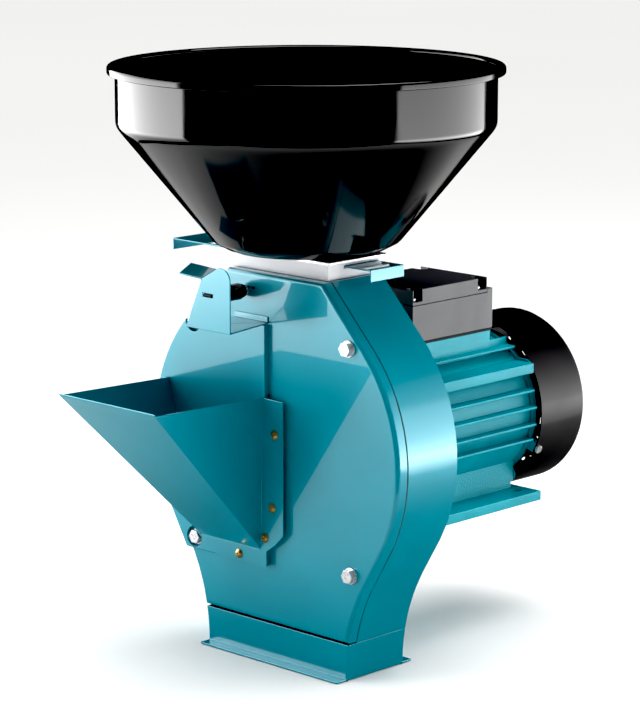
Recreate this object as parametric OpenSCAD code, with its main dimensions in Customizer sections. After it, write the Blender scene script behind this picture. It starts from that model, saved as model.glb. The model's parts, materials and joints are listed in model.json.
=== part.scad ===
// Electric hammer mill for grain: a finned foot motor, a round sheet-steel grinding
// housing on its front end, swinging hammers over a screen, a round hopper with a slide
// gate on top and a feed tray on the front.
// +Z is up, +Y runs along the shaft from the mill to the fan, +X is to the right as seen
// from the front. The origin is the middle of the foot holes, on the underside of the feet.

/* [Motor] */
// Height of the shaft above the underside of the feet
axis_z = 95; // [88:1:110]
// Spacing of the foot holes across the shaft
foot_holes_x = 140; // [130:1:150]
// Spacing of the foot holes along the shaft
foot_holes_y = 125; // [100:1:130]
// Diameter of the foot holes
foot_hole_d = 10; // [8:0.5:12]
// Width over the two feet
foot_w = 180; // [170:1:200]
// Length of each foot
foot_len = 160; // [145:1:165]
// Thickness of each foot
foot_t = 10.5; // [8:0.5:14]
// Outer radius over the cooling fins
fin_r = 90; // [86:0.5:96]
// Radius of the motor shell under the fins
shell_r = 80; // [77:0.5:83]
// Inner radius of the motor shell
stator_r = 72; // [68:0.5:74]
// Length of the finned motor shell
shell_len = 209; // [190:1:230]
// Thickness of the fins
fin_t = 3; // [2:0.5:4]

/* [Mill housing] */
// Radius of the round part of the housing
drum_r = 171; // [168:1:185]
// Height of the flat top above the shaft
top_rise = 177; // [174:1:192]
// Width of the flat top
top_w = 134; // [120:1:150]
// Depth of the housing band
band_depth = 72; // [68:1:90]
// Thickness of the housing sheets
sheet_t = 2; // [1.5:0.5:3]
// Thickness of the back plate that carries the motor
back_t = 4; // [3:0.5:6]
// Depth of the folded rim of the front cover
cover_depth = 13; // [10:1:20]
// Thickness of the gasket under the cover
gasket_t = 1.5; // [1:0.5:3]
// Angle at which the lower flanks leave the drum
flank_angle = 31; // [26:1:36]
// Length of the straight lower flank
flank_len = 37.5; // [30:0.5:45]
// Width of the outlet
outlet_w = 198; // [185:1:210]
// Depth of the outlet's mouth below the shaft
outlet_drop = 224; // [215:1:250]
// Height of the straight outlet box
outlet_h = 38; // [30:1:50]
// Width of the outlet's folded lips
outlet_lip = 13; // [8:1:20]

/* [Feed side] */
// How far the feed panel stands in front of the cover
panel_depth = 6; // [4:0.5:10]
// Length of the tray's mouth away from the panel
tray_reach = 149; // [120:1:180]
// Width of the tray's mouth
tray_w = 142; // [110:1:142]
// Height of the tray above its foot
tray_h = 160; // [130:1:165]
// Thickness of the tray sheet
tray_t = 1.5; // [1:0.5:2.5]
// Reach of the front bracket from the cover
bracket_reach = 69; // [55:1:85]
// Thickness of the bracket sheet
bracket_t = 1.5; // [1:0.5:3]
// Largest diameter of the lock knob
knob_d = 17; // [14:1:22]

/* [Hopper and gate] */
// Outer diameter of the hopper's rim
hopper_d = 400; // [360:5:440]
// Height of the hopper from its floor to its rim
hopper_h = 187; // [170:1:215]
// Thickness of the hopper's wall
hopper_t = 2; // [1.5:0.5:3]
// Height of the straight upper wall
hopper_wall_h = 62; // [45:1:75]
// Width of the gate slide
gate_w = 48; // [40:1:52]
// Thickness of the gate slide
gate_t = 1.5; // [1:0.5:2.5]
// Travel of the gate slide from shut to open
gate_travel = 100; // [90:1:104]

/* [Rotor] */
// Distance from the shaft to the hammer pins
pin_radius = 82; // [80:1:84]
// Diameter of the hammer pins
pin_d = 10; // [8:0.5:12]
// Thickness of one hammer
hammer_t = 5; // [4:0.5:6]
// Width of one hammer
hammer_w = 28; // [22:1:32]
// Distance between a hammer's two holes
hammer_span = 43; // [38:1:44]
// Diameter of the two rotor discs
disc_d = 190; // [186:1:220]
// Thickness of the two rotor discs
disc_t = 5; // [4:0.5:7]
// Inner radius of the screen
screen_r = 141; // [140:0.5:143]
// Diameter of the screen holes
screen_hole_d = 8; // [4:0.5:10]

/* [Hidden] */
$fn = 72;

eps = 0.02;           // lets a flank run just inside the arc that it is tangent to
thin = 0.01;
run_gap = 0.08;       // radial clearance of a part that turns on a pin
slide_gap = 0.5;      // clearance around the gate slide
teal = "#0d8ea0";
black = "#16161a";
zinc = "#c9ccd0";
steel = "#8f9499";
cast = "#6f7479";

// Places along the shaft, from the fan side of the housing to its front
wall_y = -147;                          // rear face of the back plate
band_y = wall_y - band_depth;           // front edge of the band
cover_y = band_y - gasket_t;            // rear edge of the cover's rim
front_y = cover_y - cover_depth;        // front face of the cover
panel_y = front_y - panel_depth;        // front face of the feed panel
inner_y = front_y + sheet_t;            // inner face of the cover
floor_y = wall_y - back_t;              // inner face of the back plate

// Heights
top_z = axis_z + top_rise;
outlet_z = axis_z - outlet_drop;
skirt_z = outlet_z + outlet_h;
cover_base_z = skirt_z + 2;

// Housing outline: a circle with a flat top and flanks that run down to the outlet
top_angle = atan2(top_rise, top_w / 2)
    - acos(drum_r / sqrt(top_rise * top_rise + top_w * top_w / 4));
knee_x = drum_r * cos(flank_angle) - flank_len * sin(flank_angle);
knee_z = -drum_r * sin(flank_angle) - flank_len * cos(flank_angle);
skirt_r = (knee_x - outlet_w / 2) / (1 - cos(flank_angle));

// A cylinder along Y about the shaft, or about a given axis
module along_y(r, y0, y1, x = 0, z = axis_z)
    translate([x, y1, z]) rotate([90, 0, 0]) cylinder(r = r, h = y1 - y0);
// A tube along Y
module tube_y(ro, ri, y0, y1, x = 0, z = axis_z) difference() {
    along_y(ro, y0, y1, x, z);
    along_y(ri, y0 - 1, y1 + 1, x, z);
}
// A flat outline drawn in X and Z, given thickness from y0 to y1
module plate_y(y0, y1) translate([0, y1, 0]) rotate([90, 0, 0]) linear_extrude(y1 - y0) children();
module block(x0, x1, y0, y1, z0, z1) translate([x0, y0, z0]) cube([x1 - x0, y1 - y0, z1 - z0]);
function on_circle(r, a) = [r * cos(a), r * sin(a)];

// A solid of the housing's outline, set in by i, from y0 to y1
module drum(i, y0, y1) {
    r = drum_r - i;
    rise = top_rise - i;
    corner_x = (r - rise * sin(top_angle)) / cos(top_angle);
    touch = on_circle(r - eps, top_angle);
    leave = on_circle(r - eps, -flank_angle);
    knee = [knee_x - i * cos(flank_angle), knee_z + i * sin(flank_angle)];
    bend = [knee_x + skirt_r * cos(flank_angle), knee_z - skirt_r * sin(flank_angle)];
    along_y(r, y0, y1, $fn = 180);
    translate([0, 0, axis_z]) {
        plate_y(y0, y1) polygon([[corner_x, rise], touch, [0, 0], [-touch.x, touch.y], [-corner_x, rise]]);
        difference() {
            plate_y(y0, y1) polygon([[0, 0], leave, knee, [knee.x, -outlet_drop],
                [-knee.x, -outlet_drop], [-knee.x, knee.y], [-leave.x, leave.y]]);
            for (s = [-1, 1])
                along_y(skirt_r + i + eps, y0 - 1, y1 + 1, s * bend.x, bend.y, $fn = 180);
        }
    }
}
module drum_above(i, y0, y1, z) intersection() {
    drum(i, y0, y1);
    block(-400, 400, y0 - 5, y1 + 5, z, z + 900);
}

/* Housing: band, back plate and outlet */
bolt_xz = [[104, 212], [-111, 212], [108, -17], [-112, -17]];
bolt_d = 8;
throat_x = -14.5;      // middle of the feed throat
throat_len = 54;
gate_y = wall_y - 24.5;
throat_w = gate_w - 8;

module throat(z0, z1) block(throat_x - throat_len / 2, throat_x + throat_len / 2,
    gate_y - throat_w / 2, gate_y + throat_w / 2, z0, z1);
module housing_band() color(teal) difference() {
    drum_above(0, band_y, wall_y, skirt_z);
    drum(sheet_t, band_y - 1, wall_y + 1);
    throat(top_z - 20, top_z + 1);
}
flange_bolt_r = 60;
shaft_hole_r = 26;
module back_plate() color(teal) difference() {
    drum_above(sheet_t, floor_y, wall_y, skirt_z);
    along_y(shaft_hole_r, floor_y - 1, wall_y + 1);
    for (a = [45:90:315])
        along_y(bolt_d / 2 + 0.25, floor_y - 1, wall_y + 1,
            flange_bolt_r * cos(a), axis_z + flange_bolt_r * sin(a));
}
outlet_front = front_y + 2;
module outlet_box() color(teal) {
    difference() {
        intersection() {
            drum(0, outlet_front, wall_y);
            block(-outlet_w, outlet_w, outlet_front - 1, wall_y + 1, outlet_z + thin, skirt_z);
        }
        drum(sheet_t, outlet_front + sheet_t, wall_y - sheet_t);
    }
    lip_x = outlet_w / 2;
    block(-lip_x, lip_x, outlet_front - outlet_lip, outlet_front + sheet_t, outlet_z, outlet_z + sheet_t);
    block(-lip_x, lip_x, wall_y - sheet_t, wall_y + outlet_lip, outlet_z, outlet_z + sheet_t);
}

/* Front cover, its gasket and bolts */
feed_x0 = -118;
feed_x1 = -36;
feed_z0 = 24;
feed_z1 = 116;
stud_xz = [-40, axis_z + 157.5];
wire_xz = [-28, stud_xz.y + 4];
wire_hole_r = 1.5;
tray_screw_xz = [[8.6, 111.5], [5, 35], [-5.5, 2]];
foot_screw_xz = [-43.5, -21.5];
tray_screw_d = 5;

module feed_hole(y0, y1) block(feed_x0, feed_x1, y0, y1, feed_z0, feed_z1);
module front_cover() color(teal) difference() {
    drum_above(0, front_y, cover_y, cover_base_z);
    drum_above(sheet_t, inner_y, cover_y + 1, cover_base_z + sheet_t);
    for (p = bolt_xz) along_y(bolt_d / 2 + 0.25, front_y - 1, inner_y + 1, p.x, p.y);
    for (p = tray_screw_xz) along_y(tray_screw_d / 2, front_y - 1, inner_y + 1, p.x, p.y);
    along_y(3, front_y - 1, inner_y + 1, stud_xz.x, stud_xz.y);
    along_y(wire_hole_r, front_y - 1, inner_y + 1, wire_xz.x, wire_xz.y);
    feed_hole(front_y - 1, inner_y + 1);
}
module cover_gasket() color("#1d1f22") difference() {
    drum_above(0.3, cover_y, band_y, cover_base_z);
    drum_above(sheet_t, cover_y - 1, band_y + 1, cover_base_z + sheet_t);
}
washer_t = 1.6;
head_h = 5.3;
module hex_bolt(d, grip, af, h) {
    cylinder(d = af / cos(30), h = h, $fn = 6);
    translate([0, 0, -grip]) cylinder(d = d, h = grip + 1);
}
module at_front(p, y) translate([p.x, y, p.y]) rotate([90, 0, 0]) children();
lug_r = 9;
bolt_grip = 24;
module cover_bolts() color(zinc) for (p = bolt_xz)
    at_front(p, front_y - washer_t) hex_bolt(bolt_d, bolt_grip, 13, head_h);
module cover_washers() color(zinc) for (p = bolt_xz)
    tube_y(8.5, bolt_d / 2, front_y - washer_t, front_y, p.x, p.y);
// Threaded bosses behind the cover that the bolts screw into, each on a web to the band
module cover_lugs() color(steel) for (p = bolt_xz) difference() {
    intersection() {
        union() {
            along_y(lug_r, inner_y, floor_y, p.x, p.y);
            block(min(p.x, sign(p.x) * drum_r), max(p.x, sign(p.x) * drum_r), inner_y, floor_y,
                p.y - lug_r / 2, p.y + lug_r / 2);
        }
        drum(sheet_t, inner_y, floor_y);
    }
    along_y(bolt_d / 2, inner_y - 1, inner_y + bolt_grip, p.x, p.y);
}

/* Feed panel and tray */
panel_right = -7;
panel_top = 221;
panel_foot = -29;
module panel_solid(i, y0, y1) intersection() {
    drum(1 + i, y0, y1);
    block(-300, panel_right - i, y0 - 1, y1 + 1, panel_foot + i, panel_top - i);
}
module feed_panel() color(teal) difference() {
    panel_solid(0, panel_y, front_y);
    panel_solid(sheet_t, panel_y + sheet_t, front_y + 1);
    for (p = bolt_xz) along_y(11, panel_y - 1, front_y + 1, p.x, p.y);
    for (p = concat(tray_screw_xz, [foot_screw_xz]))
        along_y(tray_screw_d / 2, panel_y - 1, front_y + 1, p.x, p.y);
    feed_hole(panel_y - 1, front_y + 1);
}
tray_right = -8;
tray_foot_z = -12.5;
tray_foot_x = -102;
tray_mouth = [tray_right - tray_w, tray_foot_z + tray_h];
// A thin plate with straight edges through points p, thickened by vector v
module sheet(p, v) hull() polyhedron(concat(p, [for (q = p) q + v]),
    [[for (k = [0:len(p) - 1]) k], [for (k = [2 * len(p) - 1:-1:len(p)]) k]]);
module feed_tray() color(teal) {
    lift = 4;
    floor_t = tray_t / cos(atan2(tray_h + lift, tray_reach));
    back_r = [tray_right, panel_y, tray_mouth.y];
    back_l = [tray_mouth.x, panel_y, tray_mouth.y];
    far_r = [tray_right, panel_y - tray_reach, tray_mouth.y + lift];
    far_l = [tray_mouth.x, panel_y - tray_reach, tray_mouth.y + lift];
    foot_r = [tray_right - 4, panel_y, tray_foot_z];
    foot_l = [tray_foot_x, panel_y, tray_foot_z];
    sheet([back_r, far_r, foot_r], [-tray_t, 0, 0]);
    sheet([back_l, far_l, foot_l], [tray_t, 0, 0.4]);
    sheet([far_r, far_l, foot_l, foot_r], [0, 0, floor_t]);
    plate_y(panel_y - tray_t, panel_y) difference() {
        polygon([[tray_right - tray_t, tray_mouth.y], [20, tray_mouth.y - 1], [20, 8], [8, -4],
            [-4, tray_foot_z], [-4, panel_foot], [-76, panel_foot], [tray_foot_x - 6, tray_foot_z + 3],
            [tray_mouth.x - 6, tray_mouth.y], [tray_mouth.x + tray_t, tray_mouth.y],
            [tray_foot_x + tray_t, tray_foot_z + tray_t], [tray_right - 4 - tray_t, tray_foot_z + tray_t]]);
        for (p = concat(tray_screw_xz, [foot_screw_xz])) translate(p) circle(d = tray_screw_d);
    }
}
// Round-headed screws with a cross recess
module tray_screw(p, grip) difference() {
    at_front(p, panel_y - tray_t) {
        intersection() {
            translate([0, 0, -3]) sphere(r = 6.2);
            cylinder(r = 5, h = 4);
        }
        translate([0, 0, -grip]) cylinder(d = tray_screw_d, h = grip + 0.5);
    }
    for (w = [[1, 4.4], [4.4, 1]])
        block(p.x - w.x / 2, p.x + w.x / 2, panel_y - tray_t - 4, panel_y - tray_t - 1.6,
            p.y - w.y / 2, p.y + w.y / 2);
}
module tray_screws() color("#b08a3c") {
    for (p = tray_screw_xz) tray_screw(p, tray_t + panel_depth + sheet_t + 2);
    tray_screw(foot_screw_xz, tray_t + sheet_t + 2);
}
module tray_spacers() color(zinc) for (p = [for (q = tray_screw_xz) if (q.x > 0) q])
    tube_y(4, tray_screw_d / 2, panel_y, front_y, p.x, p.y);

/* Front bracket with its lock knob */
shelf_z = 222.5;
bracket_y = front_y - bracket_reach;
slot_z = 258;
slot_x0 = -30;
slot_x1 = -15.5;
slot_h = 3.5;
module bracket_face() difference() {
    union() {
        polygon([[-54.5, shelf_z], [9, shelf_z], [9, shelf_z + 52], [-3, shelf_z + 64],
            [-7, shelf_z + 65], [-31.5, shelf_z + 51.5]]);
        translate([-4, shelf_z + 52]) circle(r = 13);
    }
    translate([slot_x0, slot_z - slot_h / 2]) square([slot_x1 - slot_x0, slot_h]);
}
module front_bracket() color(teal) {
    plate_y(bracket_y, bracket_y + bracket_t) bracket_face();
    translate([0, 0, shelf_z]) linear_extrude(bracket_t)
        polygon([[-54.5, bracket_y], [9, bracket_y], [panel_right + 1, front_y], [-54.5, front_y]]);
    block(-54.5, panel_right, front_y - bracket_t, front_y, shelf_z, shelf_z + 7);
    tab = [[-31.5, bracket_y + 0.4, shelf_z + 50.5], [-64, bracket_y + 0.4, shelf_z + 52],
        [-74, bracket_y + 26, shelf_z + 58], [-36, bracket_y + 26, shelf_z + 56]];
    sheet(tab, [0, 0, bracket_t]);
}
module slot_insert() color(steel)
    translate([slot_x0 + slot_h / 2, bracket_y + bracket_t / 2, slot_z]) rotate([0, 90, 0])
        cylinder(d = slot_h, h = slot_x1 - slot_x0 - slot_h);
knob_y = front_y - 8;
knob_len = 40;
stud_d = 6;
module lock_stud() color(zinc)
    along_y(stud_d / 2, knob_y - knob_len - 5, inner_y, stud_xz.x, stud_xz.y);
module lock_nut() color(zinc) difference() {
    at_front(stud_xz, front_y) cylinder(d = 10 / cos(30), h = 5, $fn = 6);
    along_y(stud_d / 2, front_y - 9, front_y + 1, stud_xz.x, stud_xz.y);
}
module lock_knob() color(black) difference() {
    translate([stud_xz.x, knob_y, stud_xz.y]) rotate([90, 0, 0]) rotate_extrude()
        difference() {
            polygon([[0, 0], [knob_d / 2 - 2, 0], [knob_d / 2, 2], [knob_d / 2, 14],
                [knob_d / 2 - 2, knob_len - 2], [knob_d / 2 - 4, knob_len], [0, knob_len]]);
            square([stud_d + 2 * run_gap, 3 * knob_len], center = true);
        }
}
// A ring round the stud and a thin wire that ties it to a plug in the cover
module knob_wire() color(black) {
    ring_y = front_y - 6;
    tube_y(7, stud_d / 2, ring_y, ring_y + 1, stud_xz.x, stud_xz.y);
    from = [stud_xz.x, ring_y + 0.5, stud_xz.y + 6.3];
    to = [wire_xz.x, front_y - 0.6, wire_xz.y];
    d = to - from;
    along_y(wire_hole_r, front_y - 1, inner_y, wire_xz.x, wire_xz.y);
    translate(from) rotate([0, acos(d.z / norm(d)), atan2(d.y, d.x)]) cylinder(r = 0.5, h = norm(d));
}

/* Gate */
gate_x0 = -75;
gate_x1 = 62;
gate_base_z = top_z;
gate_h = 17;
gate_front = front_y + 14;
gate_back = wall_y + 6;
gate_z = gate_base_z + 11;
slide_x0 = -188;
slide_x1 = 98;
lip_h = 10.5;
hopper_z = gate_base_z + gate_h + 2;
hopper_y = gate_y;
module gate_body() color("#e6e6ea") difference() {
    block(gate_x0, gate_x1, gate_front, gate_back, gate_base_z, gate_base_z + gate_h);
    throat(gate_base_z - 1, gate_base_z + gate_h + 1);
    block(gate_x0 - 1, gate_x1 + 1, gate_y - gate_w / 2 - slide_gap, gate_y + gate_w / 2 + slide_gap,
        gate_z - slide_gap, gate_z + gate_t + slide_gap);
}
module gate_top_plate() color(zinc) difference() {
    block(gate_x0 - 5, gate_x1 + 6, gate_front - 4, gate_back + 4,
        gate_base_z + gate_h, hopper_z);
    throat(gate_base_z, hopper_z + 1);
    for (p = hopper_screw_xy) translate([p.x, p.y, hopper_z - 9]) cylinder(d = 5, h = 12);
}
// Sheet with a lip folded down at each end, and a window that opens the throat
module gate_slide() color(teal) difference() {
    union() {
        block(slide_x0, slide_x1, gate_y - gate_w / 2, gate_y + gate_w / 2, gate_z, gate_z + gate_t);
        for (x = [slide_x0, slide_x1 - gate_t])
            block(x, x + gate_t, gate_y - gate_w / 2, gate_y + gate_w / 2, gate_z - lip_h, gate_z + gate_t);
    }
    translate([-gate_travel, 0, 0]) throat(gate_z - 1, gate_z + gate_t + 1);
}

/* Hopper */
hopper_screw_xy = [for (s = [-1, 1], t = [-1, 1]) [throat_x + s * 42, hopper_y + t * 34]];
foot_r = 84;
floor_r = 96;
rim_h = 8;
rim_w = 8;
// Half section of the hopper's outer skin set in by i, from the floor out
module hopper_half(i) {
    wall = hopper_d / 2 - rim_w;
    fold = hopper_h - hopper_wall_h;
    polygon([[0, i], [foot_r - 10, i], [foot_r - 2 - i * 0.3, 2 + i * 0.9], [floor_r - i * 0.8, 10 + i * 0.5],
        [wall - 4 - i, fold - 4], [wall - i, fold + 2], [wall - i, hopper_h + i], [0, hopper_h + i]]);
}
module hopper() color(black) translate([throat_x, hopper_y, hopper_z]) difference() {
    rotate_extrude($fn = 144) union() {
        difference() {
            hopper_half(0);
            hopper_half(hopper_t);
            translate([0, hopper_h]) square(hopper_d);
        }
        translate([hopper_d / 2 - rim_w - hopper_t, hopper_h - hopper_t]) square([rim_w + hopper_t, hopper_t]);
        translate([hopper_d / 2 - hopper_t, hopper_h - rim_h]) square([hopper_t, rim_h]);
    }
    translate([-throat_len / 2, -throat_w / 2, -1]) cube([throat_len, throat_w, hopper_t + 2]);
    for (p = hopper_screw_xy) translate([p.x - throat_x, p.y - hopper_y, -1]) cylinder(d = 5, h = 9);
}
module hopper_screws() color(zinc) for (p = hopper_screw_xy)
    translate([p.x, p.y, hopper_z + hopper_t]) {
        cylinder(d = 9, h = 3);
        translate([0, 0, -hopper_t - 2]) cylinder(d = 5, h = hopper_t + 3);
    }

/* Screen */
screen_t = 1.5;
screen_half = 76;
rail_span = 5;
rail_t = 1.8;                            // thickness of a rail's rib, as an angle at the shaft
module ring_sector(ri, ro, a0, a1) intersection() {
    difference() {
        circle(ro, $fn = 180);
        circle(ri, $fn = 180);
    }
    polygon([[0, 0], on_circle(2 * ro, a0), on_circle(2 * ro, (a0 + a1) / 2), on_circle(2 * ro, a1)]);
}
module screen() color(steel) difference() {
    plate_y(inner_y + 0.5, floor_y) translate([0, axis_z])
        ring_sector(screen_r, screen_r + screen_t, 270 - screen_half, 270 + screen_half);
    for (a = [270 - screen_half + 8:9.5:270 + screen_half - 6], y = [inner_y + 10:15:floor_y - 9])
        translate([0, y, axis_z]) rotate([0, 90 - a, 0])
            translate([0, 0, screen_r - 3]) cylinder(d = screen_hole_d, h = 8, $fn = 24);
}
// A rib from the band at each end of the screen, with a lip that the screen rests in
module screen_rails() color(steel) plate_y(band_y, floor_y) translate([0, axis_z])
    for (s = [-1, 1]) mirror([s < 0 ? 1 : 0, 0]) {
        a = 270 + screen_half;
        ring_sector(screen_r - 1, drum_r - sheet_t, a, a + rail_t);
        ring_sector(screen_r + screen_t, screen_r + screen_t + 3, a - rail_span, a + rail_t);
    }

/* Rotor */
side_gap = 0.25;
stack = 38;                              // space between the discs
disc_y = wall_y - 67;                    // front face of the front disc
gap_y = disc_y + disc_t;                 // rear face of the front disc
rear_disc_y = gap_y + stack;
shaft_d = 24;
bearing_d = 52;
bearing_bore = 25;
bearing_w = 15;
hub_d = 50;
hub_key = [8, 7];
shield_t = 10;                           // thickness of the front shield's flange
shell_y = wall_y + shield_t;             // front end of the motor shell
shell_end = shell_y + shell_len;
module at_pins() for (a = [45:90:315]) translate([pin_radius * cos(a), 0, pin_radius * sin(a)])
    children();
module rotor_discs() color(steel) difference() {
    for (y = [disc_y, rear_disc_y]) along_y(disc_d / 2, y, y + disc_t);
    along_y(shaft_d / 2, disc_y - 1, rear_disc_y + disc_t + 1);
    at_pins() along_y(pin_d / 2, disc_y - 1, rear_disc_y + disc_t + 1);
}
module key_space(y0, y1) block(-hub_key.x / 2, hub_key.x / 2, y0, y1,
    axis_z + shaft_d / 2 - hub_key.y / 2 - 0.5, axis_z + shaft_d / 2 + hub_key.y / 2 - 0.5);
module rotor_hub() color(steel) difference() {
    along_y(hub_d / 2, gap_y, rear_disc_y);
    along_y(shaft_d / 2, gap_y - 1, rear_disc_y + 1);
    key_space(gap_y + 3, rear_disc_y - 3);
}
module rotor_key() color(zinc) key_space(gap_y + 3, rear_disc_y - 3);
module rotor_sleeve() color(steel) tube_y(15, shaft_d / 2, rear_disc_y + disc_t, shell_y);
nut_d = 16;
nut_h = 9;
shaft_front = disc_y - 2.5 - nut_h - 1;
module rotor_nut() color(zinc) {
    tube_y(17, nut_d / 2, disc_y - 2.5, disc_y);
    difference() {
        at_front([0, axis_z], disc_y - 2.5) cylinder(d = 24 / cos(30), h = nut_h, $fn = 6);
        along_y(nut_d / 2, disc_y - 20, disc_y);
    }
}
module hammer_pins() color(zinc) at_pins() {
    along_y(pin_d / 2, disc_y - 1, rear_disc_y + disc_t + 3);
    along_y(8, disc_y - 3, disc_y);
}
module pin_rings() color(steel) at_pins()
    tube_y(7.5, pin_d / 2, rear_disc_y + disc_t, rear_disc_y + disc_t + 1.2);
function hammer_place(k) = gap_y + outer_spacer + side_gap + k * (hammer_t + inner_spacer + 2 * side_gap);
outer_spacer = 4.25;
inner_spacer = (stack - 2 * outer_spacer - 3 * hammer_t - 6 * side_gap) / 2;
module hammer_spacers() color(steel) at_pins() {
    tube_y(9, pin_d / 2, gap_y, gap_y + outer_spacer);
    for (k = [0, 1]) tube_y(9, pin_d / 2, hammer_place(k) + hammer_t + side_gap,
        hammer_place(k) + hammer_t + side_gap + inner_spacer);
    tube_y(9, pin_d / 2, rear_disc_y - outer_spacer, rear_disc_y);
}
// Three hammers that hang from one pin
module hammers(a) color("#5f6367") translate([pin_radius * cos(a), 0, pin_radius * sin(a)])
    for (k = [0:2]) difference() {
        block(-hammer_w / 2, hammer_w / 2, hammer_place(k), hammer_place(k) + hammer_t,
            axis_z - hammer_span - 12, axis_z + 12);
        for (z = [0, hammer_span])
            along_y(pin_d / 2 + run_gap, hammer_place(k) - 1, hammer_place(k) + hammer_t + 1, 0, axis_z - z);
    }
module hammers_1() hammers(45);
module hammers_2() hammers(135);
module hammers_3() hammers(225);
module hammers_4() hammers(315);

/* Motor */
leg_x = 57.5;
leg_t = 13;
boss = [84, 49.5, 11];                   // outer x, height above the shaft, thickness
fin_rises = [69, 25.5, 7.5, -11, -28];
tie_xz = [[71.6, axis_z + boss[1]], [-71.6, axis_z + boss[1]], [51, axis_z - 71], [-51, axis_z - 71]];
tie_d = 5;
pad_top = 90;                            // top of the terminal box pad above the shaft
pad_w = 96;
pad_y0 = -70;
pad_y1 = 42;
module motor_section() difference() {
    union() {
        circle(shell_r, $fn = 120);
        for (h = fin_rises) {
            x = sqrt(fin_r * fin_r - h * h);
            translate([-x, h - fin_t / 2]) square([2 * x, fin_t]);
        }
        translate([-boss.x, boss[1] - boss[2] / 2]) square([2 * boss.x, boss[2]]);
        for (s = [-1, 1]) translate([s < 0 ? -leg_x : leg_x - leg_t, -axis_z + foot_t - 1])
            square([leg_t, axis_z - foot_t - 40]);
        for (x = [-44, -22, 0, 22, 44]) translate([x - fin_t / 2, 60]) square([fin_t, fin_r * cos(asin(x / fin_r)) - 60]);
    }
    circle(stator_r, $fn = 120);
}
module foot_holes() for (s = [-1, 1], t = [-1, 1])
    translate([s * foot_holes_x / 2, t * foot_holes_y / 2, -1]) cylinder(d = foot_hole_d, h = foot_t + 2);
module motor_housing() color(teal) difference() {
    union() {
        plate_y(shell_y, shell_end) translate([0, axis_z]) motor_section();
        for (s = [-1, 1]) block(s < 0 ? -foot_w / 2 : leg_x - leg_t, s < 0 ? -leg_x + leg_t : foot_w / 2,
            -foot_len / 2, foot_len / 2, 0, foot_t);
        difference() {
            block(-pad_w / 2, pad_w / 2, pad_y0, pad_y1, axis_z + 60, axis_z + pad_top);
            along_y(stator_r + 1, pad_y0 - 1, pad_y1 + 1);
        }
    }
    foot_holes();
    for (p = tie_xz) along_y(tie_d / 2, shell_y - 1, shell_end + 1, p.x, p.y);
    // the legs stand only over the feet
    for (r = [[shell_y - 1, -foot_len / 2], [foot_len / 2 - 12, shell_end + 1]])
        block(-foot_w, foot_w, r[0], r[1], foot_t, axis_z - shell_r + 2);
    translate([0, 0, axis_z + pad_top - 12]) cylinder(d = 16, h = 20);
}
module motor_shield_flange(y0, y1) {
    along_y(shell_r + 2, y0, y1);
    hull() for (p = [for (q = tie_xz) if (q.y > axis_z) q]) along_y(8, y0, y1, p.x, p.y, $fn = 32);
    hull() for (p = [for (q = tie_xz) if (q.y < axis_z) q]) along_y(8, y0, y1, p.x, p.y, $fn = 32);
}
module front_shield() color(cast) difference() {
    union() {
        difference() {
            union() {
                motor_shield_flange(wall_y, shell_y);
                along_y(stator_r, shell_y - 1, shell_y + 8);
            }
            along_y(stator_r - 6, shell_y - 3, shell_y + 9);
        }
        along_y(bearing_d / 2 + 8, shell_y - 4, shell_y + bearing_w + 1);
    }
    along_y(bearing_d / 2, shell_y, shell_y + bearing_w + 2);
    along_y(21, wall_y - 1, shell_y + 1);
    for (p = tie_xz) along_y(tie_d / 2, wall_y - 1, shell_y + 1, p.x, p.y);
    for (a = [45:90:315]) along_y(bolt_d / 2, wall_y - 1, shell_y - 1.5,
        flange_bolt_r * cos(a), axis_z + flange_bolt_r * sin(a));
}
module shaft_seal() color(black) tube_y(21, 15 + run_gap, wall_y + 1.5, shell_y - 1);
rear_t = 8;
rear_bearing_y = shell_end - 9;
rear_lug_angles = [-24.5, 95.5, 215.5];
cover_r = 94;
cover_wall = 1.5;
fan_cover_y = shell_end + 2.5;
fan_cover_len = 72;
cover_screw_y = shell_end + 6;
module rear_shield() color(cast) difference() {
    union() {
        difference() {
            union() {
                motor_shield_flange(shell_end, shell_end + 2);
                along_y(shell_r + 2, shell_end, shell_end + rear_t);
                for (a = rear_lug_angles) translate([0, 0, axis_z]) rotate([0, -a, 0])
                    block(shell_r - 10, cover_r - cover_wall - 1, shell_end + 2.6, shell_end + rear_t + 1.5, -6, 6);
                along_y(stator_r, shell_end - 8, shell_end + 1);
            }
            along_y(stator_r - 6, shell_end - 9, shell_end + 3);
        }
        along_y(bearing_d / 2 + 8, rear_bearing_y - 1, shell_end + rear_t);
    }
    along_y(bearing_d / 2, rear_bearing_y - 2, rear_bearing_y + bearing_w);
    along_y(13.5, rear_bearing_y, shell_end + 30);
    for (p = tie_xz) along_y(tie_d / 2, shell_end - 1, shell_end + 12, p.x, p.y);
}
module tie_bolts() color(zinc) for (p = tie_xz) {
    along_y(tie_d / 2, wall_y + 1, shell_end + 3, p.x, p.y);
    at_back(p, tie_head_y(p)) cylinder(d = 8 / cos(30), h = 3.5, $fn = 6);
}
function tie_head_y(p) = norm([p.x, p.y - axis_z]) < shell_r + 2 ? shell_end + rear_t : shell_end + 2;
module at_back(p, y) translate([p.x, y, p.y]) rotate([-90, 0, 0]) children();

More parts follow.
